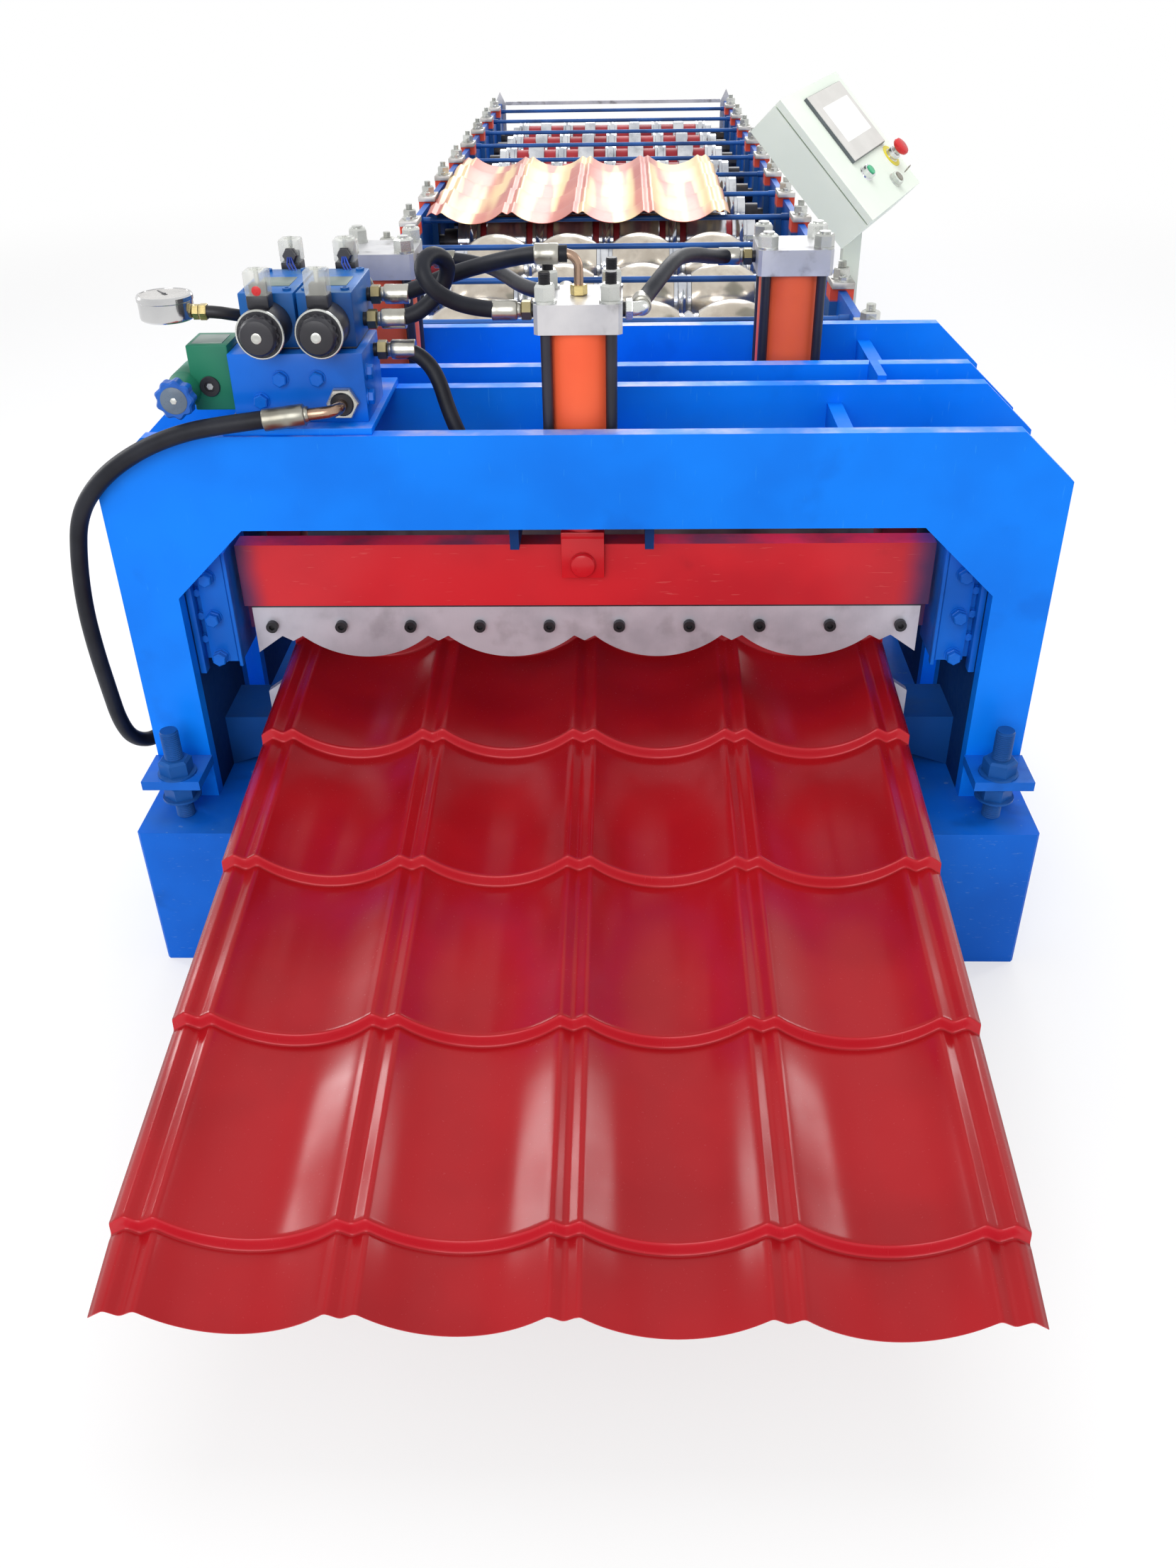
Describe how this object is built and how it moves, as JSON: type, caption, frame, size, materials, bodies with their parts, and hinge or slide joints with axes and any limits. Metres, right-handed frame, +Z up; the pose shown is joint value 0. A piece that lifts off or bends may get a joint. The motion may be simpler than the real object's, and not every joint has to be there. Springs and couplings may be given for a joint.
{
  "type": "roll forming machine",
  "caption": "Roll forming machine for wave-tile roofing sheet: long roll bed, step press and hydraulic shear under a blue portal, with valve group, hoses and operator box",
  "frame": {"origin": "on the floor under the front face of the shear portal, on the centre line", "axes": "+X to the right seen from the delivery end, +Y into the machine against the run of the strip, +Z up"},
  "size_m": [1.4344, 6.431, 1.0188],
  "materials": {
    "portal_blue": "gloss paint with scuffs",
    "base_blue": "worn satin paint",
    "sheet_red": "glossy coil coating",
    "beam_red": "gloss paint",
    "barrel_orange": "satin paint",
    "block_red": "satin paint",
    "tool_steel": "machined",
    "bare_steel": "machined",
    "chromed_rod": "polished",
    "roll_steel": "ground and greased",
    "black_steel": "black oxide",
    "coil_black": "moulded",
    "clear_plug": "clear moulding",
    "valve_green": "satin paint",
    "valve_blue": "satin paint",
    "knob_blue": "moulded",
    "gauge_steel": "polished bezel",
    "zinc": "zinc plated",
    "hose_rubber": "wrapped cover",
    "box_paint": "textured powder coat",
    "screen_case": "moulded",
    "button_red": "moulded",
    "button_green": "moulded",
    "key_steel": "plated"
  },
  "bodies": {
    "frame": {"front_base": "base_blue", "bed_frame": "base_blue", "shear_portal": "portal_blue", "press_portal": "portal_blue", "portal_webs": "portal_blue", "slide_guides": "portal_blue", "lower_blade": "tool_steel", "tool_tables": "portal_blue", "lower_die": "tool_steel", "hold_down_ears": "portal_blue", "hold_down_studs": "portal_blue", "cylinder_barrels": "barrel_orange", "cylinder_heads": "bare_steel", "cylinder_tie_rods": "black_steel", "manifold_block": "valve_blue", "valve_bodies": "valve_blue", "valve_coils": "coil_black", "coil_plugs": "clear_plug", "relief_valve": "valve_green", "pressure_gauge": "gauge_steel", "hidden_rolls": "roll_steel", "side_walls": "portal_blue", "lower_bearing_blocks": "portal_blue", "upper_bearing_blocks": "block_red", "adjusting_screws": "zinc", "tie_bars": "portal_blue", "end_plates": "bare_steel", "formed_sheet": "sheet_red", "sample_sheet": "sheet_red", "control_arm": "box_paint", "control_box": "box_paint", "control_panel": "box_paint", "touch_screen": "screen_case", "main_hose": "hose_rubber", "shear_down_hose": "hose_rubber", "shear_up_hose": "hose_rubber", "right_press_hose": "hose_rubber", "left_press_hose": "hose_rubber", "shear_return_hose": "hose_rubber", "hose_fittings": "zinc"},
    "shear_slide": {"shear_beam": "beam_red", "shear_blade": "tool_steel", "shear_rod": "chromed_rod"},
    "press_slide": {"upper_die": "beam_red", "press_rods": "chromed_rod"},
    "upper_roll_02_shaft": {"upper_roll_02": "roll_steel"},
    "upper_roll_03_shaft": {"upper_roll_03": "roll_steel"},
    "upper_roll_04_shaft": {"upper_roll_04": "roll_steel"},
    "upper_roll_05_shaft": {"upper_roll_05": "roll_steel"},
    "upper_roll_06_shaft": {"upper_roll_06": "roll_steel"},
    "upper_roll_07_shaft": {"upper_roll_07": "roll_steel"},
    "upper_roll_08_shaft": {"upper_roll_08": "roll_steel"},
    "upper_roll_09_shaft": {"upper_roll_09": "roll_steel"},
    "upper_roll_10_shaft": {"upper_roll_10": "roll_steel"},
    "upper_roll_11_shaft": {"upper_roll_11": "roll_steel"},
    "relief_knob_body": {"relief_knob": "knob_blue"},
    "emergency_stop_body": {"emergency_stop": "button_red"},
    "start_button_body": {"start_button": "button_green"},
    "switch_key_body": {"switch_key": "key_steel"}
  },
  "joints": [
    {"name": "shear_slide_travel", "type": "slide", "parent": "frame", "child": "shear_slide", "axis": [0, 0, 1], "range_m": [-0.06, 0]},
    {"name": "press_slide_travel", "type": "slide", "parent": "frame", "child": "press_slide", "axis": [0, 0, 1], "range_m": [-0.045, 0]},
    {"name": "upper_roll_02_spin", "type": "hinge", "parent": "frame", "child": "upper_roll_02_shaft", "pos_m": [0, 1.5565, 0.479], "axis": [1, 0, 0], "continuous": true},
    {"name": "upper_roll_03_spin", "type": "hinge", "parent": "frame", "child": "upper_roll_03_shaft", "pos_m": [0, 1.966, 0.479], "axis": [1, 0, 0], "continuous": true},
    {"name": "upper_roll_04_spin", "type": "hinge", "parent": "frame", "child": "upper_roll_04_shaft", "pos_m": [0, 2.3755, 0.479], "axis": [1, 0, 0], "continuous": true},
    {"name": "upper_roll_05_spin", "type": "hinge", "parent": "frame", "child": "upper_roll_05_shaft", "pos_m": [0, 2.785, 0.479], "axis": [1, 0, 0], "continuous": true},
    {"name": "upper_roll_06_spin", "type": "hinge", "parent": "frame", "child": "upper_roll_06_shaft", "pos_m": [0, 3.1945, 0.479], "axis": [1, 0, 0], "continuous": true},
    {"name": "upper_roll_07_spin", "type": "hinge", "parent": "frame", "child": "upper_roll_07_shaft", "pos_m": [0, 3.604, 0.479], "axis": [1, 0, 0], "continuous": true},
    {"name": "upper_roll_08_spin", "type": "hinge", "parent": "frame", "child": "upper_roll_08_shaft", "pos_m": [0, 4.0135, 0.479], "axis": [1, 0, 0], "continuous": true},
    {"name": "upper_roll_09_spin", "type": "hinge", "parent": "frame", "child": "upper_roll_09_shaft", "pos_m": [0, 4.423, 0.479], "axis": [1, 0, 0], "continuous": true},
    {"name": "upper_roll_10_spin", "type": "hinge", "parent": "frame", "child": "upper_roll_10_shaft", "pos_m": [0, 4.8325, 0.479], "axis": [1, 0, 0], "continuous": true},
    {"name": "upper_roll_11_spin", "type": "hinge", "parent": "frame", "child": "upper_roll_11_shaft", "pos_m": [0, 5.242, 0.479], "axis": [1, 0, 0], "continuous": true},
    {"name": "relief_knob_turn", "type": "hinge", "parent": "frame", "child": "relief_knob_body", "pos_m": [-0.494, 0, 0.818], "axis": [0, -1, 0], "range_deg": [0, 270]},
    {"name": "emergency_stop_press", "type": "slide", "parent": "frame", "child": "emergency_stop_body", "axis": [-0.6188, 0.3593, -0.6986], "range_m": [0, 0.005]},
    {"name": "start_button_press", "type": "slide", "parent": "frame", "child": "start_button_body", "axis": [-0.6188, 0.3593, -0.6986], "range_m": [0, 0.003], "stiffness_N_per_m": 300, "springref_m": -0.002},
    {"name": "switch_key_turn", "type": "hinge", "parent": "frame", "child": "switch_key_body", "pos_m": [0.66376, 1.6158, 0.81519], "axis": [0.6188, -0.3593, 0.6986], "range_deg": [0, 90]}
  ],
  "couplings": [
    {"joint": "upper_roll_03_spin", "follows": "upper_roll_02_spin", "ratio": 1},
    {"joint": "upper_roll_04_spin", "follows": "upper_roll_02_spin", "ratio": 1},
    {"joint": "upper_roll_05_spin", "follows": "upper_roll_02_spin", "ratio": 1},
    {"joint": "upper_roll_06_spin", "follows": "upper_roll_02_spin", "ratio": 1},
    {"joint": "upper_roll_07_spin", "follows": "upper_roll_02_spin", "ratio": 1},
    {"joint": "upper_roll_08_spin", "follows": "upper_roll_02_spin", "ratio": 1},
    {"joint": "upper_roll_09_spin", "follows": "upper_roll_02_spin", "ratio": 1},
    {"joint": "upper_roll_10_spin", "follows": "upper_roll_02_spin", "ratio": 1},
    {"joint": "upper_roll_11_spin", "follows": "upper_roll_02_spin", "ratio": 1}
  ]
}
